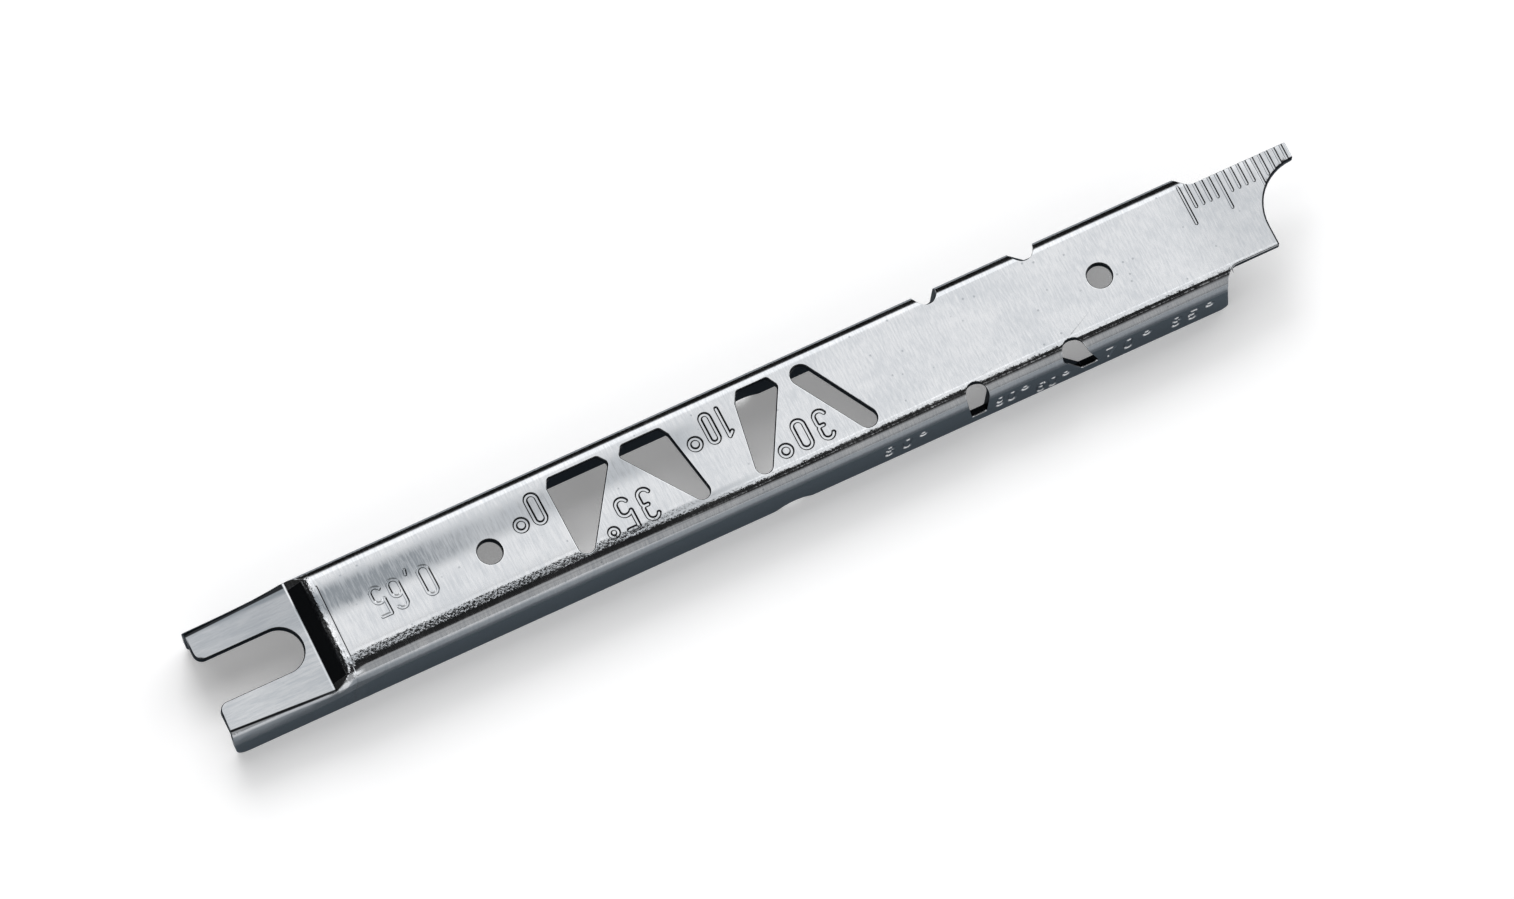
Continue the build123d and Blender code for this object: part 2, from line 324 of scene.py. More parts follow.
@dataclass(frozen=True)
class FigureShapes:
    """Centre lines of the figures, in a cell that is centred in x and stands on y = 0.

    The figures are a draughtsman's plain ones: round ends of one radius, joined by straight
    sides. Their width, height and ring are millimetres, turns are degrees, and the other sizes
    are shares of the round ends' radius or, for a bowl's top, of the height.
    """

    width: float
    height: float
    ring_radius: float = 0.5
    ring_middle: float = 3.1
    one_stem: float = 0.25
    one_flag: float = 1.2
    one_flag_heading: float = 222.0
    three_waist: float = 0.5
    three_opening: float = 20.0
    five_bar: float = 0.8
    five_bowl_top: float = 0.55
    five_lead_in: float = 55.0
    five_hook: float = 155.0
    six_bowl_top: float = 0.58
    six_hook: float = 150.0
    seven_lean: float = 1.3
    comma_start: tuple[float, float] = (-0.12, -0.45)
    comma_heading: float = 75.0
    comma_length: float = 0.6

    @property
    def radius(self) -> float:
        """The radius of the round ends."""
        return self.width / 2

    def strokes(self, figure: Figure) -> list[Stroke]:
        """Return the strokes of one figure, which the method of its name draws."""
        return getattr(self, figure.name.lower())()

    def stadium(self, bottom: float, top: float) -> Stroke:
        """Draw a closed loop with two round ends.

        Args:
            bottom: The height of its lowest point.
            top: The height of its highest point.

        Returns:
            The loop's stroke.
        """
        radius = self.radius
        side = Straight(top - bottom - 2 * radius)
        return Stroke(-radius, bottom + radius, 90, (side, Arc(radius, -180), side, Arc(radius, -180)), True)

    def zero(self) -> list[Stroke]:
        """Return the stroke of a 0."""
        return [self.stadium(0, self.height)]

    def one(self) -> list[Stroke]:
        """Draw a 1, with its flag at the top.

        Returns:
            The strokes of the stem and of the flag.
        """
        stem_x = self.one_stem * self.radius
        stem = Stroke(stem_x, 0, 90, (Straight(self.height),))
        flag = Stroke(stem_x, self.height, self.one_flag_heading, (Straight(self.one_flag * self.radius),))
        return [stem, flag]

    def three(self) -> list[Stroke]:
        """Draw a 3, whose two bowls meet in a short waist.

        Returns:
            The strokes of the upper bowl and of the lower one.
        """
        radius = self.radius
        waist = self.three_waist * radius
        side = Straight(self.height / 2 - radius - waist)
        round_turn = 180 - self.three_opening
        upper = (Arc(radius, -round_turn), side, Arc(waist, -90), Straight(waist))
        lower = (Arc(radius, round_turn), side, Arc(waist, 90 - self.three_opening))
        return [self.from_bowl(upper, 1), self.from_bowl(lower, -1)]

    def from_bowl(self, legs: tuple[Straight | Arc, ...], side: int) -> Stroke:
        """Start a bowl of a 3 at the left of its round.

        Args:
            legs: The bowl's legs.
            side: 1 for the upper bowl, and -1 for the lower one.

        Returns:
            The bowl's stroke.
        """
        open_by = math.radians(self.three_opening)
        start_x = -self.radius * math.cos(open_by)
        rise = self.radius - self.radius * math.sin(open_by)
        start_y = self.height - rise if side > 0 else rise
        return Stroke(start_x, start_y, side * (90 - self.three_opening), legs)

    def five(self) -> list[Stroke]:
        """Draw a 5.

        Returns:
            The strokes of the bar, of the stem and of the bowl.
        """
        radius = self.radius
        lead_in = math.radians(self.five_lead_in)
        lead_radius = radius / math.sin(lead_in)
        bowl_top = self.five_bowl_top * self.height
        bowl_start = bowl_top - lead_radius * (1 - math.cos(lead_in))
        bar = Stroke(self.five_bar * radius, self.height, 180, (Straight((1 + self.five_bar) * radius),))
        stem = Stroke(-radius, self.height, -90, (Straight(self.height - bowl_start),))
        legs = (
            Arc(lead_radius, -self.five_lead_in),
            Arc(radius, -90),
            Straight(bowl_top - 2 * radius),
            Arc(radius, -self.five_hook),
        )
        return [bar, stem, Stroke(-radius, bowl_start, self.five_lead_in, legs)]

    def six(self) -> list[Stroke]:
        """Draw a 6: a closed bowl and a stem that hooks over it.

        Returns:
            The strokes of the bowl and of the stem.
        """
        radius = self.radius
        bowl_top = self.six_bowl_top * self.height
        stem_start = bowl_top - radius
        stem_legs = (Straight(self.height - radius - stem_start), Arc(radius, -self.six_hook))
        return [self.stadium(0, bowl_top), Stroke(-radius, stem_start, 90, stem_legs)]

    def seven(self) -> list[Stroke]:
        """Draw a 7.

        Returns:
            The strokes of the bar and of the stem.
        """
        radius = self.radius
        across = self.seven_lean * radius
        slant = math.degrees(math.atan2(-self.height, -across))
        bar = Stroke(-radius, self.height, 0, (Straight(2 * radius),))
        stem = Stroke(radius, self.height, slant, (Straight(math.hypot(self.height, across)),))
        return [bar, stem]

    def eight(self) -> list[Stroke]:
        """Return the strokes of an 8: two closed loops that touch at the waist."""
        return [self.stadium(0, self.height / 2), self.stadium(self.height / 2, self.height)]

    def nine(self) -> list[Stroke]:
        """Draw a 9, which is a 6 turned round.

        Returns:
            The strokes of the bowl and of the stem.
        """
        turned = []
        for stroke in self.six():
            start_x, start_y, heading = -stroke.x, self.height - stroke.y, stroke.heading + 180
            turned.append(Stroke(start_x, start_y, heading, stroke.legs, stroke.closed))
        return turned

    def comma(self) -> list[Stroke]:
        """Return the stroke of a comma."""
        return [Stroke(*self.comma_start, self.comma_heading, (Straight(self.comma_length),))]

    def degree(self) -> list[Stroke]:
        """Return the ring of a degree mark."""
        return [Stroke(-self.ring_radius, self.ring_middle, 90, (Arc(self.ring_radius, -360),), True)]


@dataclass(frozen=True)
class Marking:
    """A stamped marking: its figures, the middle of each along the gauge, and its foot line."""

    text: str
    places: tuple[float, ...]
    foot: float
    shapes: FigureShapes


@dataclass
class StampedFigures:
    """The numbers and degree marks on the web and on the front flange."""

    depth_line: Groove = Groove(0.44, 0.2, 0.14, 0.05)
    angle_line: Groove = Groove(0.58, 0.26, 0.2, 0.05)
    flange_line: Groove = Groove(0.44, 0.1, 0.17, 0.04)
    depth_marking: Marking = Marking(
        "0,65", (-45.7, -47.83, -49.85, -52.3), 1.99, FigureShapes(1.42, 3.94)
    )
    angle_markings: tuple[Marking, ...] = (
        Marking("0°", (-29.35, -31.93), 4.63, FigureShapes(1.46, 4.0, 0.78, 3.16)),
        Marking("35°", (-16.45, -19.49, -21.99), -0.72, FigureShapes(1.55, 4.13, 0.56, 3.62)),
        Marking("10°", (-3.04, -5.07, -7.61), 4.8, FigureShapes(1.2, 3.95, 0.76, 3.07)),
        Marking("30°", (7.92, 4.94, 2.15), -0.88, FigureShapes(1.5, 3.82, 0.74, 3.0)),
    )
    flange_markings: tuple[Marking, ...] = (
        Marking("80°", (14.95, 17.45, 19.56), 2.1, FigureShapes(1.0, 2.62, 0.47, 2.2)),
        Marking("90°", (30.3, 31.98, 33.7), 2.1, FigureShapes(0.95, 2.62, 0.5, 2.2)),
        Marking("60°", (36.1, 37.76, 39.5), 0.6, FigureShapes(0.95, 2.62, 0.47, 2.2)),
        Marking("70°", (45.6, 48.15, 50.6), 2.0, FigureShapes(1.05, 2.7, 0.52, 2.3)),
        Marking("85°", (54.75, 57.05, 59.3), 2.0, FigureShapes(1.0, 2.7, 0.5, 2.3)),
    )

    def stamp(self, cutter: LineCutter, marking: Marking, groove: Groove) -> None:
        """Cut one marking's figures, in the order in which they are read.

        Args:
            cutter: The cutter for the marking's face.
            marking: The marking to cut.
            groove: The cross-section of its lines.
        """
        reading = Vector(cutter.face.value[0]).x
        upright = Vector(cutter.face.value[1])
        foot = marking.foot * (upright.y + upright.z)
        for sign, place in zip(marking.text, marking.places):
            for stroke in marking.shapes.strokes(Figure(sign)):
                cutter.cut(stroke, groove, place * reading, foot)

    def cut_web(self, cutter: LineCutter) -> None:
        """Cut the depth setting and the filing angles.

        Args:
            cutter: The cutter for the web's face.
        """
        self.stamp(cutter, self.depth_marking, self.depth_line)
        for marking in self.angle_markings:
            self.stamp(cutter, marking, self.angle_line)

    def cut_flange(self, cutter: LineCutter) -> None:
        """Cut the cutting angles."""
        for marking in self.flange_markings:
            self.stamp(cutter, marking, self.flange_line)


@dataclass
class Rule:
    """The graduations across the tongue, one millimetre apart from the hook's tip."""

    line: Groove = Groove(0.4, 0.2, 0.12, 0.05)
    count: int = 15
    pitch: float = 1.0
    first: float = 0.72
    every: int = 5
    short_end: float = 3.0
    long_end: float = 1.0
    back_edge: float = 5.9
    overrun: float = 0.5

    def cut(self, cutter: LineCutter, tip: float) -> None:
        """Cut the graduations, every fifth one long.

        Args:
            cutter: The cutter for the web's face.
            tip: Where the tongue's tip ends along the gauge, in millimetres.
        """
        start = self.back_edge + self.overrun
        for number in range(self.count):
            place = tip - self.first - number * self.pitch
            end = self.long_end if (number + 1) % self.every == 0 else self.short_end
            cutter.cut(Stroke(-place, -start, 90, (Straight(start - end),)), self.line)


@dataclass
class PressLine:
    """The line that the press leaves across the web, askew as the step itself is."""

    skew: float = 2.1
    groove: Groove = Groove(0.2, 0.05, 0.07, 0.06)
    middle: tuple[float, float] = (-58.76, -0.48)
    length: float = 11.3

    def cut(self, cutter: LineCutter) -> None:
        """Cut the shallow line that ends the ramp's bend.

        Args:
            cutter: The cutter for the web's face.
        """
        heading = 90 - self.skew
        way = math.radians(heading)
        start_x = -self.middle[0] - self.length / 2 * math.cos(way)
        start_y = -self.middle[1] - self.length / 2 * math.sin(way)
        cutter.cut(Stroke(start_x, start_y, heading, (Straight(self.length),)), self.groove)


@dataclass(frozen=True)
class Ramp:
    """A soft change between two places: to_low is what it gives at low, and to_high at high."""

    low: float
    high: float
    to_low: float = 0.0
    to_high: float = 1.0


@dataclass(frozen=True)
class Noise:
    """A noise whose cells are 1 / scale metres along each axis."""

    scale: tuple[float, float, float]
    detail: float
    roughness: float


Ramps = tuple[Ramp, ...]

# Where the fork begins, from the web
ON_FORK = Ramp(-0.0618, -0.062)


def band(low: float, high: float, soft: float) -> Ramps:
    """Return the ramps of a stretch between two places, with a soft rim outside each."""
    return Ramp(low - soft, low), Ramp(high + soft, high)


class Shader:
    """The node tree of a material or of the world, with short ways to add and join its nodes."""

    def __init__(self, owner: bpy.types.Material | bpy.types.World) -> None:
        """Empty the owner's node tree.

        Args:
            owner: The material or world whose nodes are to be made.
        """
        self.owner = owner
        self.owner.use_nodes = True
        self.tree = owner.node_tree
        self.tree.nodes.clear()

    def node(self, kind: str, settings: dict | None = None, **inputs: Value | tuple) -> bpy.types.Node:
        """Add a node.

        Args:
            kind: The node's type, without the ShaderNode that all types start with.
            settings: Its own options, by attribute.
            **inputs: Values or output sockets for its inputs, by the socket's name, or by an i
                and the socket's number.

        Returns:
            The new node.
        """
        made = self.tree.nodes.new("ShaderNode" + kind)
        for option, value in (settings or {}).items():
            setattr(made, option, value)
        for key, value in inputs.items():
            place = int(key[1:]) if key[1:].isdigit() else key.replace("_", " ")
            socket = made.inputs[place]
            if isinstance(value, bpy.types.NodeSocket):
                self.tree.links.new(value, socket)
            else:
                socket.default_value = value
        return made

    def math(self, operation: str, first: Value, second: Value = 0.0, third: Value = 0.0) -> Socket:
        """Add a math node and return its output."""
        return self.node("Math", {"operation": operation}, i0=first, i1=second, i2=third).outputs[0]

    def joined(self, operation: str, *values: Value) -> Value:
        """Join values one after the other by a math operation, and return the output."""
        return reduce(partial(self.math, operation), values)

    def product(self, *values: Value) -> Value:
        """Multiply values together and return the output."""
        return self.joined("MULTIPLY", *values)

    def total(self, *values: Value) -> Value:
        """Add values up and return the output."""
        return self.joined("ADD", *values)

    def largest(self, *values: Value) -> Value:
        """Return the largest of some values."""
        return self.joined("MAXIMUM", *values)

    def rest(self, share: Value) -> Socket:
        """Return what a share leaves of one."""
        return self.math("SUBTRACT", 1.0, share)

    def ranged(self, value: Value, *ramps: Ramp) -> Value:
        """Map a value by a ramp, or by the product of some.

        Args:
            value: The place, or another value, that the ramps go by.
            *ramps: The ramps.

        Returns:
            The output, in which each ramp stays at its ends past them.
        """
        mapped = []
        for ramp in ramps:
            made = self.node(
                "MapRange",
                {"interpolation_type": "SMOOTHSTEP"},
                Value=value,
                From_Min=ramp.low,
                From_Max=ramp.high,
                To_Min=ramp.to_low,
                To_Max=ramp.to_high,
            )
            mapped.append(made.outputs[0])
        return self.product(*mapped)

    def mixed(self, share: Value, first: Value, second: Value) -> Socket:
        """Return a mix of two values, which is the second where the share is one."""
        return self.node("Mix", i0=share, i2=first, i3=second).outputs[0]

    def tinted(self, share: Value, first: Socket | Colour, second: Socket | Colour) -> Socket:
        """Return a mix of two colours, which is the second where the share is one."""
        return self.node("Mix", {"data_type": "RGBA"}, i0=share, i6=first, i7=second).outputs[2]

    def finished(self, surface: Socket) -> bpy.types.Material:
        """Join the surface to the output and return the material."""
        self.node("OutputMaterial", Surface=surface)
        return self.owner


class PointShader(Shader):
    """The shader of the gauge's finish, which reads a point's place and the way its face leans."""

    def __init__(self, owner: bpy.types.Material) -> None:
        """Add the nodes that read the point.

        Args:
            owner: The material whose nodes are to be made.
        """
        super().__init__(owner)
        where = self.node("TexCoord")
        self.place = where.outputs["Object"]
        self.along, self.across, self.up = self.node("SeparateXYZ", Vector=self.place).outputs[:3]
        self.aside = self.math("ABSOLUTE", self.across)
        self.forward = self.product(self.across, -1.0)
        leans = self.node("SeparateXYZ", Vector=where.outputs["Normal"]).outputs[:3]
        self.upward = leans[2]
        self.lean_x, self.lean_y, self.lean_z = (self.math("ABSOLUTE", lean) for lean in leans)

    def noise(self, noise: Noise) -> Socket:
        """Add a noise that goes by the point's place.

        Args:
            noise: Its scale, detail and roughness.

        Returns:
            The noise's value.
        """
        scaled = self.node("Mapping", Vector=self.place, Scale=noise.scale).outputs[0]
        made = self.node(
            "TexNoise", Vector=scaled, Scale=1.0, Detail=noise.detail, Roughness=noise.roughness
        )
        return made.outputs[0]


@dataclass(frozen=True)
class Region:
    """A region of the surface: for each reading of a point, the ramps that bound the region."""

    along: Ramps = ()
    across: Ramps = ()
    aside: Ramps = ()
    up: Ramps = ()
    upward: Ramps = ()
    lean_x: Ramps = ()
    lean_y: Ramps = ()
    lean_z: Ramps = ()

    def part(self, at: PointShader) -> Value:
        """Return how far the point is in the region."""
        bounded = [(getattr(at, reading), ramps) for reading, ramps in vars(self).items() if ramps]
        return at.product(*(at.ranged(value, *ramps) for value, ramps in bounded))


@dataclass(frozen=True)
class PaintedDarkWallsAndLines:
    """The torn walls of the holes, windows, openings and ends and the dark lines, in painted shade.

    Lines stamped in the tongue and at the fork's end are shallow, and their walls stay bright.
    The tongue's front edge is clean. The hook's hollow has a dark rim, down to the straight
    side below it. The lines along the prongs' long bends run apart towards the step.
    """

    # Painted shade and dark reflection on upright walls and walls across the bends, partly their rough torn
    # face
    upright: Region = Region(aside=(Ramp(0.00695, 0.00665),), lean_z=(Ramp(0.93, 0.86),))
    across_bend: Region = Region(lean_x=(Ramp(0.66, 0.8),))
    # Painted shade on the sills of the flange openings and other low faces that don't face front or back
    sill: Region = Region(up=(Ramp(0.0062, 0.006),), lean_y=(Ramp(0.6, 0.4),))
    rule_walls: Region = Region(along=(Ramp(0.0625, 0.063),), up=(Ramp(0.00855, 0.00857),))
    depth_walls: Region = Region(along=(Ramp(-0.0444, -0.0449),), up=(Ramp(0.00855, 0.00857),))
    clean: Region = Region(along=(Ramp(0.064, 0.0644),), across=(Ramp(-0.0059, -0.006),))
    # Painted dark reflection on the rim of the hook's hollow
    hollow_middle: tuple[float, float] = (0.0764, -0.00305)
    hollow_radius: float = 0.00665
    hollow_rim: Ramp = Ramp(0.00026, 0.00018)
    # Painted dark reflection: dark lines along the prongs' long bends
    prongs: Region = Region(along=(ON_FORK,), up=(Ramp(0.0052, 0.0056),))
    back_slant: float = 0.042
    back_line: Ramp = Ramp(0.00975, 0.00985)
    front_slant: float = 0.056
    front_line: Ramps = band(0.01098, 0.01118, 0.0001)

    def part(self, at: PointShader) -> Value:
        """Find how far the point is dark.

        Args:
            at: The point's shader.

        Returns:
            The share that is dark.
        """
        marks = at.largest(self.rule_walls.part(at), self.depth_walls.part(at))
        upright = at.product(self.upright.part(at), at.rest(marks))
        rough_and_shaded = at.largest(upright, self.across_bend.part(at), self.sill.part(at))
        rough_and_shaded = at.product(rough_and_shaded, at.rest(self.clean.part(at)))
        return at.largest(rough_and_shaded, self.hollow_part(at), self.prong_part(at))

    def hollow_part(self, at: PointShader) -> Value:
        """Find how far the point is on the hollow's rim.

        Args:
            at: The point's shader.

        Returns:
            The share that is dark.
        """
        across = at.math("SUBTRACT", at.along, self.hollow_middle[0])
        above = at.largest(at.math("SUBTRACT", at.across, self.hollow_middle[1]), 0.0)
        reach = at.math("SQRT", at.total(at.product(across, across), at.product(above, above)))
        return at.ranged(at.math("SUBTRACT", reach, self.hollow_radius), self.hollow_rim)

    def prong_part(self, at: PointShader) -> Value:
        """Find how far the point is on a line along a prong.

        Args:
            at: The point's shader.

        Returns:
            The share that is dark.
        """
        back = at.math("MULTIPLY_ADD", at.along, -self.back_slant, at.across)
        front = at.math("MULTIPLY_ADD", at.along, -self.front_slant, at.forward)
        lines = at.largest(at.ranged(back, self.back_line), at.ranged(front, *self.front_line))
        return at.product(lines, self.prongs.part(at))


@dataclass(frozen=True)
class WearAndPaintedShade:
    """What darkens the ground face: a worn stretch, painted shade by the front bend, on the prongs, the ramp
    and low on the bends, and a darker tongue.
    """

    worn: Region = Region(
        along=(Ramp(0.002, -0.012), Ramp(-0.062, -0.0618), Ramp(-0.034, -0.05, 0.75, 1.35)),
        across=band(0.0024, 0.0036, 0.0023),
    )
    worn_streaks: Ramp = Ramp(0.3, 0.75, 0.35, 0.85)
    # Painted shade: darker by the front bend towards the fork, with streaks, for the dark reflection where
    # the web turns down
    by_bend: Region = Region(
        along=(Ramp(0.002, -0.012), Ramp(-0.062, -0.0618)), across=band(-0.0057, -0.0051, 0.0006)
    )
    bend_streaks: Ramp = Ramp(0.3, 0.75, 0.25, 0.6)
    # Painted dark reflection: the upper prong darker and the prongs' back bends dark; the prongs also darker
    # towards the step
    prongs: tuple[Region, ...] = (
        Region(along=(ON_FORK,), across=(Ramp(-0.0005, 0.0035, 0.22, 0.42),)),
        Region(along=(ON_FORK,), across=(Ramp(0.0062, 0.0069, 0.0, 0.3),)),
        Region(along=(ON_FORK, Ramp(-0.075, -0.066, 0.0, 0.1))),
    )
    # Painted shade: the lower part of each bend is darker, measured from the fork plate's face on the fork
    drop_to_fork: Ramp = Ramp(-0.0615, -0.0595, 0.00165, 0.0)
    down_bend: Ramp = Ramp(0.0082, 0.0077, 0.0, 0.76)
    # The tongue is a little darker towards the hook
    tongue: Ramp = Ramp(0.057, 0.066, 0.0, 0.16)
    most: float = 0.8

    def part(self, at: PointShader, lines: Socket) -> Value:
        """Find how far the point is worn or painted darker.

        Args:
            at: The point's shader.
            lines: The height of the grinding lines there.

        Returns:
            The share that is darkened.
        """
        worn = at.product(self.worn.part(at), at.ranged(lines, self.worn_streaks))
        by_bend = at.product(self.by_bend.part(at), at.ranged(lines, self.bend_streaks))
        height = at.total(at.up, at.ranged(at.along, self.drop_to_fork))
        rest = at.largest(at.ranged(height, self.down_bend), at.ranged(at.along, self.tongue))
        prongs = (region.part(at) for region in self.prongs)
        return at.math("MINIMUM", at.total(worn, by_bend, *prongs, rest), self.most)


@dataclass(frozen=True)
class Relief:
    """The fine relief: the fall towards the bends, the grinding lines and the grain of the bends."""

    crowned_from: float = 0.003
    crown: float = 22.0
    towards_fork: Ramp = Ramp(0.004, -0.03)
    on_web: Ramp = Ramp(-0.0605, -0.0575)
    step_slant: float = 0.0367
    ramp_bend: float = -0.0592
    ramp_fall: float = 250.0
    ramp_fall_end: float = 0.0009
    wave: Noise = Noise((55.0, 110.0, 110.0), 1.0, 0.5)
    wave_height: float = 0.00009
    grain: Noise = Noise((3000.0, 1500.0, 1500.0), 2.0, 0.6)
    grain_height: Ramp = Ramp(0.0, 1.0, 0.3, 8.0)
    narrow_grain: Ramps = band(0.0057, 0.0063, 0.0004)
    narrow_share: float = 0.7
    wide_grain: Ramps = band(0.0048, 0.0056, 0.0007)
    ramp_grain: Ramps = band(-0.0601, -0.0591, 0.0003)
    patch_lines: Ramp = Ramp(0.3, 0.75, 0.6, 1.3)
    fork_lines: Ramp = Ramp(-0.0622, -0.0618, 0.6, 1.0)
    fine_depth: float = 0.000009

    def fall(self, at: PointShader, square: Socket) -> Value:
        """Find how far the face falls towards the front bend and towards the ramp.

        Args:
            at: The point's shader.
            square: How far along the gauge the point is, square to the step.

        Returns:
            The height, in metres, which is negative where the face falls.
        """
        past = at.largest(at.math("SUBTRACT", at.forward, self.crowned_from), 0.0)
        on_bend = at.ranged(at.along, self.towards_fork, self.on_web)
        over = at.largest(at.math("SUBTRACT", self.ramp_bend, square), 0.0)
        over = at.math("MINIMUM", over, self.ramp_fall_end)
        front = at.product(past, past, -self.crown, on_bend)
        return at.total(front, at.product(over, over, -self.ramp_fall))

    def grained_part(self, at: PointShader, square: Socket) -> Value:
        """Find how far the point is on the rough grain of a bend.

        Args:
            at: The point's shader.
            square: How far along the gauge the point is, square to the step.

        Returns:
            The share that is rough.
        """
        narrow = at.product(at.ranged(at.forward, *self.narrow_grain), self.narrow_share)
        wide = at.ranged(at.forward, *self.wide_grain)
        by_bend = at.mixed(at.ranged(at.along, self.towards_fork), narrow, wide)
        by_bend = at.product(by_bend, at.ranged(at.along, self.on_web))
        return at.largest(by_bend, at.ranged(square, *self.ramp_grain))

    def normal(self, at: PointShader, lines: Socket, patches: Socket) -> Socket:
        """Add the relief's two bumps, the slow one under the fine one.

        Args:
            at: The point's shader.
            lines: The height of the grinding lines there.
            patches: How strong the lines are there.

        Returns:
            The normal for the surface.
        """
        square = at.math("MULTIPLY_ADD", at.across, -self.step_slant, at.along)
        wave = at.product(at.noise(self.wave), self.wave_height)
        slow_height = at.total(self.fall(at, square), wave)
        slow = at.node("Bump", Strength=1.0, Distance=1.0, Height=slow_height).outputs[0]
        grain_height = at.ranged(self.grained_part(at, square), self.grain_height)
        grain = at.product(at.noise(self.grain), grain_height)
        line_height = at.product(at.ranged(patches, self.patch_lines), at.ranged(at.along, self.fork_lines))
        height = at.total(grain, at.product(lines, line_height))
        fine = at.node("Bump", Strength=1.0, Distance=self.fine_depth, Height=height, Normal=slow)
        return fine.outputs[0]


@dataclass(frozen=True)
class Grinding:
    """The lines that grinding leaves: across the web, finer towards the hook, and along the fork."""

    web: Noise = Noise((3300.0, 330.0, 330.0), 4.0, 0.7)
    fine_web: Noise = Noise((4600.0, 700.0, 700.0), 3.0, 0.6)
    fork: Noise = Noise((330.0, 3300.0, 330.0), 4.0, 0.7)
    coarse_part: Ramp = Ramp(0.01, -0.02, 0.25, 0.9)
    web_part: Ramp = Ramp(-0.0622, -0.0618)

    def lines(self, at: PointShader) -> Socket:
        """Find the height of the lines, from zero to one.

        Args:
            at: The point's shader.

        Returns:
            The height.
        """
        coarse = at.ranged(at.along, self.coarse_part)
        web = at.mixed(coarse, at.noise(self.fine_web), at.noise(self.web))
        return at.mixed(at.ranged(at.along, self.web_part), at.noise(self.fork), web)


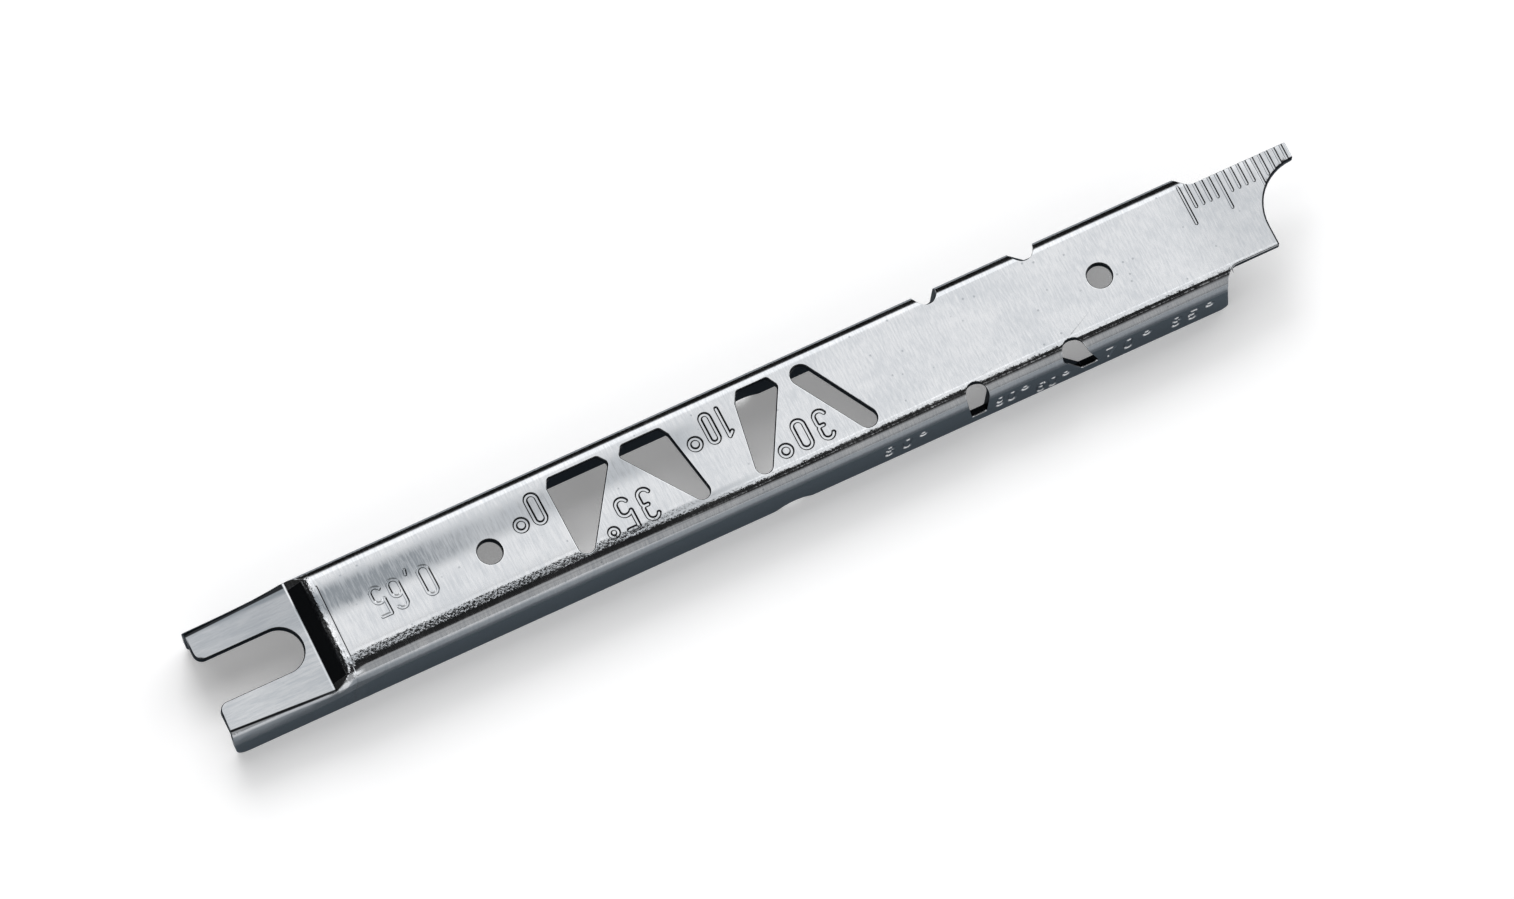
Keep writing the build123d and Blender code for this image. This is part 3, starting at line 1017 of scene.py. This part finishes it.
@dataclass(frozen=True)
class PlatedSteel:
    """Bright plated sheet steel, ground across the web and along the fork and dull elsewhere, with painted
    shade.
    """

    dark: Colour = (0.5, 0.52, 0.545, 1.0)
    bright: Colour = (0.65, 0.66, 0.675, 1.0)
    # Painted dark reflection: the dull faces off the ground face, chiefly the flanges, are coloured dark
    dull_face_painted_dark: Colour = (0.12, 0.142, 0.163, 1.0)
    # Painted shade: the inside of the channel, under the web and between the flanges, is coloured near black
    inside: Colour = (0.03, 0.036, 0.044, 1.0)
    # Painted shade and dark reflection on the cut walls and the dark lines, partly their rough torn face
    cut_wall_painted_dark: Colour = (0.022, 0.024, 0.027, 1.0)
    edge_tint: Colour = (0.42, 0.44, 0.46, 1.0)
    side: Ramp = Ramp(0.00695, 0.00705)
    underside: Ramp = Ramp(-0.0605, -0.0585, 0.00607, 0.00772)
    above_underside: Ramp = Ramp(-0.0001, 0.0)
    bend_end: Ramp = Ramp(-0.066, -0.053, 0.004, 0.0061)
    above_flange: Ramp = Ramp(-0.0002, 0.0002)
    # Painted highlight: the upward walls of the figures in the front flange are coloured bright, as if they
    # caught the light
    figure_walls_painted_highlight: Region = Region(
        across=band(-0.0079, -0.00774, 0.00002),
        up=(Ramp(0.0061, 0.0059), Ramp(0.00015, 0.0003)),
        upward=(Ramp(0.3, 0.6),),
    )
    patches: Noise = Noise((150.0, 260.0, 260.0), 3.0, 0.6)
    line_weight: float = 2.0
    tint: Ramp = Ramp(1.05, 1.95)
    speck_scale: float = 800.0
    specked_cells: Ramp = Ramp(0.72, 0.78)
    speck_size: Ramp = Ramp(0.16, 0.08)
    speck_strength: float = 0.4
    dull_roughness: float = 0.32
    line_roughness: Ramp = Ramp(0.3, 0.7, -0.02, 0.04)
    patch_roughness: Ramp = Ramp(0.3, 0.7, 0.11, 0.16)
    grinding: Grinding = Grinding()
    # Wear, and painted shade on the bends and prongs
    wear_and_painted_shade: WearAndPaintedShade = WearAndPaintedShade()
    # Painted dark walls and lines
    painted_dark_walls_and_lines: PaintedDarkWallsAndLines = PaintedDarkWallsAndLines()
    relief: Relief = Relief()

    def outer_part(self, at: PointShader) -> Value:
        """Return how far the point is on the channel's outside."""
        height = at.math("SUBTRACT", at.up, at.ranged(at.along, self.underside))
        return at.largest(at.ranged(at.aside, self.side), at.ranged(height, self.above_underside))

    def ground_part(self, at: PointShader, outer: Value) -> Value:
        """Return how far the point is on the ground face, from how far it is outside."""
        height = at.math("SUBTRACT", at.up, at.ranged(at.along, self.bend_end))
        return at.product(at.ranged(height, self.above_flange), outer)

    def specks(self, at: PointShader) -> Value:
        """Find how far the point is in a dull speck, which only some cells of a pattern have.

        Args:
            at: The point's shader.

        Returns:
            The share that is dull.
        """
        cells = at.node("TexVoronoi", Vector=at.place, Scale=self.speck_scale)
        drawn = at.node("SeparateXYZ", Vector=cells.outputs["Color"]).outputs[0]
        near_middle = at.ranged(cells.outputs["Distance"], self.speck_size)
        return at.product(near_middle, at.ranged(drawn, self.specked_cells), self.speck_strength)

    def ground_colour(self, at: PointShader, lines: Socket, patches: Socket) -> Socket:
        """Find the colour of the ground face.

        Args:
            at: The point's shader.
            lines: The height of the grinding lines there.
            patches: The slow change of the face there.

        Returns:
            The colour.
        """
        lit = at.ranged(at.math("MULTIPLY_ADD", lines, self.line_weight, patches), self.tint)
        # Wear, specks and painted shade mix the face towards the dark colour
        worn_specked_and_shaded = at.largest(self.wear_and_painted_shade.part(at, lines), self.specks(at))
        return at.tinted(worn_specked_and_shaded, at.tinted(lit, self.dark, self.bright), self.dull_face_painted_dark)

    def material(self) -> bpy.types.Material:
        """Build the material.

        Returns:
            The material.
        """
        at = PointShader(bpy.data.materials.new("plated_steel"))
        lines = self.grinding.lines(at)
        patches = at.noise(self.patches)
        outer = self.outer_part(at)
        ground = self.ground_part(at, outer)
        # Painted shade: how far the point is on a cut wall or dark line, which takes a near-black colour
        rough_and_shaded = self.painted_dark_walls_and_lines.part(at)
        # Painted shade and dark reflection: the channel's inside and its dull outside are coloured dark
        bare_painted_dark = at.tinted(outer, self.inside, self.dull_face_painted_dark)
        face = at.tinted(ground, bare_painted_dark, self.ground_colour(at, lines, patches))
        walled = at.tinted(rough_and_shaded, face, self.cut_wall_painted_dark)
        ground_roughness = at.total(
            at.ranged(lines, self.line_roughness), at.ranged(patches, self.patch_roughness)
        )
        polished = at.math("SUBTRACT", ground, rough_and_shaded)
        surface = at.node(
            "BsdfPrincipled",
            Base_Color=at.tinted(self.figure_walls_painted_highlight.part(at), walled, self.bright),
            Metallic=1.0,
            Roughness=at.mixed(polished, self.dull_roughness, ground_roughness),
            Specular_Tint=self.edge_tint,
            Normal=self.relief.normal(at, lines, patches),
        )
        return at.finished(surface.outputs[0])


@dataclass(frozen=True)
class PaleFloor:
    """Plain white table, which shows the gauge's shadow."""

    colour: Colour = (0.84, 0.84, 0.845, 1.0)
    roughness: float = 0.9
    glow: float = 0.26

    def material(self) -> bpy.types.Material:
        """Build the material, which glows only where it is seen.

        Returns:
            The material.
        """
        shader = Shader(bpy.data.materials.new("pale_floor"))
        rays = shader.node("LightPath")
        seen = shader.largest(
            *(rays.outputs[kind] for kind in ("Is Camera Ray", "Is Glossy Ray", "Is Transmission Ray"))
        )
        surface = shader.node(
            "BsdfPrincipled",
            Base_Color=self.colour,
            Roughness=self.roughness,
            Emission_Color=WHITE,
            Emission_Strength=shader.product(seen, self.glow),
        )
        return shader.finished(surface.outputs[0])


@dataclass(frozen=True)
class BlackCard:
    """Dull black card."""

    colour: Colour = (0.02, 0.02, 0.02, 1.0)

    def material(self) -> bpy.types.Material:
        """Build the material and return it."""
        shader = Shader(bpy.data.materials.new("black_card"))
        return shader.finished(shader.node("BsdfDiffuse", Color=self.colour).outputs[0])


@dataclass(frozen=True)
class Round:
    """The round that an edge is given: how far it reaches, in millimetres, and its steps."""

    reach: float
    steps: int


@dataclass
class GaugeBody:
    """The folded sheet, with its edges broken and its lines stamped."""

    node: str = "gauge_body"
    merge_distance: float = 0.02
    edge_round: Round = Round(0.12, 3)
    slot_round: Round = Round(0.2, 4)
    crease_round: Round = Round(0.22, 5)
    hook_round: Round = Round(0.18, 3)
    hook_start: float = 63.0
    hook_back: float = 5.7
    flat_angle: float = 0.2
    sharp_angle: float = 40.0
    smooth_angle: float = 18.0
    flat_weight: int = 100
    sheet_and_depth: float = 1.65
    prong_corner: float = 5.6
    stored_normals: tuple[str, ...] = ("custom_normal", "sharp_edge", "sharp_face")
    figures: StampedFigures = field(default_factory=StampedFigures)
    rule: Rule = field(default_factory=Rule)
    press_line: PressLine = field(default_factory=PressLine)

    def sheet(self) -> bmesh.types.BMesh:
        """Copy the frame's mesh, merge it and break its sharp edges.

        Returns:
            The merged copy, in triangles.
        """
        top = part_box(self.node)[1].z
        mesh = bmesh.new()
        mesh.from_mesh(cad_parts[self.node].data)
        bmesh.ops.remove_doubles(mesh, verts=mesh.verts, dist=self.merge_distance * MM)
        flat = math.radians(self.flat_angle)
        bmesh.ops.dissolve_limit(mesh, angle_limit=flat, verts=mesh.verts, edges=mesh.edges)
        plate = top - self.sheet_and_depth * MM
        on_plate = [edge for edge in mesh.edges if self.is_on_plate(edge, plate)]
        crease = [edge for edge in on_plate if not edge.is_convex]
        self.round_off(mesh, crease, self.crease_round)
        slot = [edge for edge in on_plate if edge.is_valid and self.is_sharp(edge) and self.is_inner(edge)]
        self.round_off(mesh, slot, self.slot_round)
        hook = [edge for edge in mesh.edges if self.is_sharp(edge) and self.is_at_hook(edge, top)]
        self.round_off(mesh, hook, self.hook_round)
        sharp = [edge for edge in mesh.edges if self.is_sharp(edge)]
        self.round_off(mesh, sharp, self.edge_round)
        self.keep_in_box(mesh)
        bmesh.ops.triangulate(mesh, faces=mesh.faces)
        return mesh

    def is_level(self, edge: bmesh.types.BMEdge, height: float) -> bool:
        """Return whether an edge lies flat at some height, in metres."""
        return all(abs(vert.co.z - height) < self.merge_distance * MM for vert in edge.verts)

    def is_on_plate(self, edge: bmesh.types.BMEdge, height: float) -> bool:
        """Return whether an edge turns the fork plate's upper face, which is at some height."""
        turns = edge.calc_face_angle(0.0) > math.radians(self.smooth_angle)
        return turns and self.is_level(edge, height)

    def is_sharp(self, edge: bmesh.types.BMEdge) -> bool:
        """Return whether an edge is left sharp by the punch."""
        return edge.calc_face_angle(0.0) > math.radians(self.sharp_angle)

    def is_inner(self, edge: bmesh.types.BMEdge) -> bool:
        """Return whether an edge lies between the prongs' long bends."""
        return all(abs(vert.co.y) < self.prong_corner * MM for vert in edge.verts)

    def is_at_hook(self, edge: bmesh.types.BMEdge, top: float) -> bool:
        """Find whether an edge runs round the hollow and the front of the hook, on the web's face.

        Args:
            edge: The edge.
            top: The height of the web's face, in metres.

        Returns:
            Whether it does.
        """
        past = all(vert.co.x > self.hook_start * MM for vert in edge.verts)
        front = any(vert.co.y < self.hook_back * MM for vert in edge.verts)
        return past and front and self.is_level(edge, top)

    def round_off(self, mesh: bmesh.types.BMesh, edges: list[bmesh.types.BMEdge], shape: Round) -> None:
        """Bevel edges to a round.

        Args:
            mesh: The mesh that the edges are in.
            edges: The edges.
            shape: The round.
        """
        bmesh.ops.bevel(
            mesh,
            geom=edges,
            offset=shape.reach * MM,
            affect="EDGES",
            segments=shape.steps,
            profile=0.5,
            material=-1,
        )

    def keep_in_box(self, mesh: bmesh.types.BMesh) -> None:
        """Bring each point that a bevel has pushed out back to the frame's box.

        Args:
            mesh: The mesh to keep in the box.
        """
        low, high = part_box(self.node)
        for vert in mesh.verts:
            sides = zip(low, high, vert.co)
            vert.co = Vector(max(least, min(most, place)) for least, most, place in sides)

    def build(self) -> bpy.types.Object:
        """Build the body and dress it.

        Returns:
            The body.
        """
        low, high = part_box(self.node)
        body = as_object(self.sheet(), "filing_gauge")
        self.forget_normals(body)
        web = LineCutter(body, StampedFace.WEB, high.z)
        self.figures.cut_web(web)
        self.rule.cut(web, high.x / MM)
        self.press_line.cut(web)
        flange = LineCutter(body, StampedFace.FRONT_FLANGE, -low.y)
        self.figures.cut_flange(flange)
        log.info("%d lines on the web, %d on the front flange", web.count, flange.count)
        self.smooth(body)
        body.data.materials.clear()
        body.data.materials.append(PlatedSteel().material())
        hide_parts(self.node)
        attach(body, "root")
        return body

    def forget_normals(self, body: bpy.types.Object) -> None:
        """Drop the normals that the copy brought from the frame's mesh, which no longer fit it.

        Args:
            body: The body.
        """
        for name in self.stored_normals:
            stored = body.data.attributes.get(name)
            if stored is not None:
                body.data.attributes.remove(stored)

    def smooth(self, body: bpy.types.Object) -> None:
        """Shade the bends round and the faces flat.

        Args:
            body: The body.
        """
        for polygon in body.data.polygons:
            polygon.use_smooth = True
        body.data.set_sharp_from_angle(angle=math.radians(self.smooth_angle))
        weighted = body.modifiers.new("flat_faces", "WEIGHTED_NORMAL")
        weighted.keep_sharp = True
        weighted.weight = self.flat_weight


@dataclass(frozen=True)
class Panel:
    """A light panel round the studio, by the directions that it fills.

    Each edge is an axis, the share of the direction along it where the panel ends, and the
    share where it is at full strength.
    """

    level: float
    edges: tuple[tuple[int, float, float], ...]


@dataclass
class Studio:
    """The white table, the panels and the soft lamp over it, the black card and the camera."""

    floor_size: float = 3.0
    azimuth: float = -37.63
    elevation: float = 69.03
    roll: float = 11.38
    target: tuple[float, float] = (-1.03, -2.19)
    view_width: float = 187.0
    distance: float = 0.6
    room_level: float = 0.03
    panels: tuple[Panel, ...] = (
        # The back, its left part, the left, the right, the lower left, the front, the high
        # middle of the back, the back's right part and the front's right part
        Panel(1.5, ((Y, 0.1, 0.17), (Y, 0.9, 0.8), (X, -0.6, -0.44), (Z, 0.3, 0.42))),
        Panel(0.5, ((Y, 0.05, 0.17), (Y, 0.6, 0.5), (X, -0.5, -0.4), (X, 0.0, -0.1))),
        Panel(1.5, ((X, -0.55, -0.7), (Y, 0.0, -0.15), (Z, 0.1, 0.2))),
        Panel(1.5, ((X, 0.7, 0.8), (Y, 0.1, 0.0), (Z, 0.1, 0.2))),
        Panel(0.9, ((X, -0.75, -0.9), (Y, 0.16, 0.06), (Z, 0.0, 0.1))),
        Panel(0.62, ((Y, -0.5, -0.58),)),
        Panel(0.5, ((Y, 0.42, 0.55), (Y, 0.9, 0.8), (X, -0.3, -0.1), (Z, 0.3, 0.42))),
        Panel(1.0, ((X, 0.4, 0.6), (Y, 0.05, 0.2), (Y, 0.85, 0.7), (Z, 0.0, 0.1))),
        Panel(1.1, ((X, 0.4, 0.55), (Y, -0.35, -0.5), (Z, 0.1, 0.18), (Z, 0.6, 0.5))),
    )
    lamp_towards: tuple[float, float, float] = (0.02, 0.74, 0.66)
    lamp_distance: float = 0.6
    lamp_size: float = 0.3
    lamp_watts: float = 1.5
    card_length: float = 230.0
    card_height: float = 14.0
    card_place: float = 25.0

    def floor(self) -> None:
        """Lay the table."""
        mesh = bmesh.new()
        bmesh.ops.create_grid(mesh, x_segments=1, y_segments=1, size=UNIT_SQUARE * self.floor_size)
        floor = as_object(mesh, "floor")
        floor.data.materials.append(PaleFloor().material())

    def room(self) -> None:
        """Hang the panels round the dark studio."""
        world = bpy.data.worlds.new("studio")
        bpy.context.scene.world = world
        shader = Shader(world)
        towards = shader.node("SeparateXYZ", Vector=shader.node("TexCoord").outputs["Generated"])
        total = self.room_level
        for panel in self.panels:
            light = panel.level
            for axis, end, full in panel.edges:
                edge = shader.ranged(towards.outputs[axis], Ramp(end, full))
                light = shader.product(edge, light)
            total = shader.total(light, total)
        background = shader.node("Background", Strength=total)
        shader.node("OutputWorld", Surface=background.outputs[0])

    def card(self) -> None:
        """Stand a low black card behind the gauge, which only its reflections show."""
        mesh = bmesh.new()
        bmesh.ops.create_grid(mesh, x_segments=1, y_segments=1, size=UNIT_SQUARE)
        bmesh.ops.scale(mesh, verts=mesh.verts, vec=(self.card_length * MM, self.card_height * MM, 1.0))
        stand = Matrix.Translation((0.0, self.card_place * MM, self.card_height / 2 * MM))
        mesh.transform(stand @ Matrix.Rotation(math.radians(90), 4, "X"))
        card = as_object(mesh, "black_card")
        card.data.materials.append(BlackCard().material())
        for rays in ("camera", "diffuse", "transmission", "shadow"):
            setattr(card, f"visible_{rays}", False)

    def lamp(self) -> None:
        """Hang the soft lamp behind the gauge, which throws its shadow forwards."""
        light = bpy.data.lights.new("lamp", "AREA")
        light.shape = "SQUARE"
        light.size = self.lamp_size
        light.energy = self.lamp_watts
        holder = bpy.data.objects.new("lamp", light)
        holder.visible_glossy = False
        towards = Vector(self.lamp_towards).normalized()
        holder.location = towards * self.lamp_distance
        holder.rotation_euler = towards.to_track_quat("Z", "Y").to_euler()
        bpy.context.scene.collection.objects.link(holder)

    def camera(self) -> None:
        """Set the camera at the photograph's angle, with no perspective."""
        lens = bpy.data.cameras.new("camera")
        lens.type = "ORTHO"
        lens.ortho_scale = self.view_width * MM
        holder = bpy.data.objects.new("camera", lens)
        azimuth, elevation = math.radians(self.azimuth), math.radians(self.elevation)
        level = math.cos(elevation)
        back = Vector((math.sin(azimuth) * level, -math.cos(azimuth) * level, math.sin(elevation)))
        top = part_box("gauge_body")[1].z
        target = Vector((self.target[0] * MM, self.target[1] * MM, top))
        turn = back.to_track_quat("Z", "Y").to_matrix() @ Matrix.Rotation(math.radians(self.roll), 3, "Z")
        holder.matrix_world = Matrix.Translation(target + back * self.distance) @ turn.to_4x4()
        bpy.context.scene.collection.objects.link(holder)
        bpy.context.scene.camera = holder

    def build(self) -> None:
        """Set up the whole studio."""
        self.floor()
        self.card()
        self.room()
        self.lamp()
        self.camera()
        bpy.context.scene.view_settings.view_transform = "Standard"


def main() -> None:
    """Build the gauge and its studio, and note the sizes."""
    logging.basicConfig(level=logging.INFO, format="%(message)s")
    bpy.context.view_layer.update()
    body = GaugeBody().build()
    log.info("%s: %d polygons", body.name, len(body.data.polygons))
    Studio().build()


if __name__ == "__main__":
    main()
